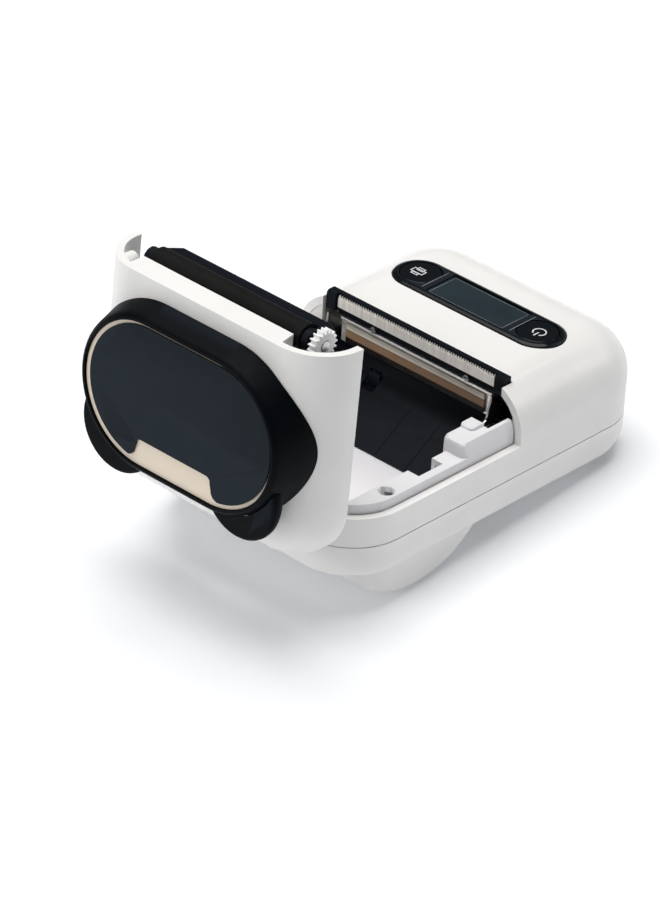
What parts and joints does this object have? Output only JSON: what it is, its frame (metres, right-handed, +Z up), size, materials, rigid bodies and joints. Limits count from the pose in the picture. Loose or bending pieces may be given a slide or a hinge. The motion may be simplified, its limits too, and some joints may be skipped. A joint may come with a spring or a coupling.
{
  "type": "receipt printer",
  "caption": "Portable thermal roll printer with a hinged lid that carries the platen roller, a round-backed paper bay, tear blade, oval display panel and two push buttons.",
  "frame": {"origin": "centre of the bounding box at the surface that the pads stand on", "axes": "+Z up from the surface, +Y towards the display end, +X to the side of the power button"},
  "size_m": [0.08, 0.1432, 0.0899],
  "materials": {
    "housing_white": "satin moulded plastic",
    "bay_white": "fine matt moulded plastic",
    "black_plastic": "matt black",
    "gloss_black": "gloss black",
    "slate": "soft touch slate",
    "beige": "champagne satin",
    "rubber": "matt rubber",
    "steel": "brushed",
    "aluminium": "satin",
    "ceramic": "glazed brown",
    "nylon": "natural nylon",
    "lens": "clear lens over a grey display",
    "board": "solder mask",
    "cell_wrap": "blue film"
  },
  "bodies": {
    "base": {"lower_shell": "housing_white", "upper_shell": "housing_white", "paper_bay": "bay_white", "guide_wall": "black_plastic", "blade_holder": "black_plastic", "drive_cover": "black_plastic", "switch_power": "black_plastic", "switch_feed": "black_plastic", "panel_bezel": "gloss_black", "paper_sensor": "rubber", "belly_pad_L": "rubber", "belly_pad_R": "rubber", "rear_pad_L": "rubber", "rear_pad_R": "rubber", "tear_blade": "steel", "holder_screw_L": "steel", "holder_screw_R": "steel", "head_bracket": "steel", "head_spring_L": "steel", "head_spring_R": "steel", "motor_plate": "steel", "stepper_motor": "steel", "charge_socket": "steel", "hinge_pin_L": "steel", "hinge_pin_R": "steel", "case_screw_1": "steel", "case_screw_2": "steel", "case_screw_3": "steel", "case_screw_4": "steel", "display_module": "aluminium", "display_window": "lens", "main_board": "board", "battery_pack": "cell_wrap"},
    "lid": {"lid_shell": "housing_white", "dome_cover": "black_plastic", "inlay_base": "beige", "inlay_plate": "slate", "foot_lobe_L": "black_plastic", "foot_lobe_R": "black_plastic", "platen_cradle": "black_plastic"},
    "platen": {"platen_rubber": "rubber", "platen_shaft": "steel", "platen_gear": "nylon"},
    "print_head": {"head_heatsink": "aluminium", "head_ceramic": "ceramic"},
    "idler": {"idler_gear": "black_plastic"},
    "pinion": {"motor_pinion": "steel"},
    "power_button": {"button_power": "gloss_black"},
    "feed_button": {"button_feed": "gloss_black"}
  },
  "joints": [
    {"name": "lid_hinge", "type": "hinge", "parent": "base", "child": "lid", "pos_m": [0, -0.04379, 0.02539], "axis": [1, 0, 0], "range_deg": [-87.74, 0]},
    {"name": "platen_spin", "type": "hinge", "parent": "lid", "child": "platen", "pos_m": [0, -0.04589, 0.08547], "axis": [1, 0, 0], "continuous": true},
    {"name": "head_float", "type": "hinge", "parent": "base", "child": "print_head", "pos_m": [0, 0.02273, 0.02722], "axis": [1, 0, 0], "range_deg": [-1.2, 0], "stiffness_Nm_per_rad": 0.11},
    {"name": "idler_spin", "type": "hinge", "parent": "base", "child": "idler", "pos_m": [0.0297, 0.02371, 0.02195], "axis": [1, 0, 0], "continuous": true},
    {"name": "pinion_spin", "type": "hinge", "parent": "base", "child": "pinion", "pos_m": [0.0297, 0.03239, 0.0179], "axis": [1, 0, 0], "continuous": true},
    {"name": "power_press", "type": "slide", "parent": "base", "child": "power_button", "axis": [0, 0.1011, 0.9949], "range_m": [-0.0004, 0], "stiffness_N_per_m": 400},
    {"name": "feed_press", "type": "slide", "parent": "base", "child": "feed_button", "axis": [0, 0.1011, 0.9949], "range_m": [-0.0004, 0], "stiffness_N_per_m": 400}
  ],
  "couplings": [
    {"joint": "pinion_spin", "follows": "idler_spin", "ratio": -2.5}
  ]
}
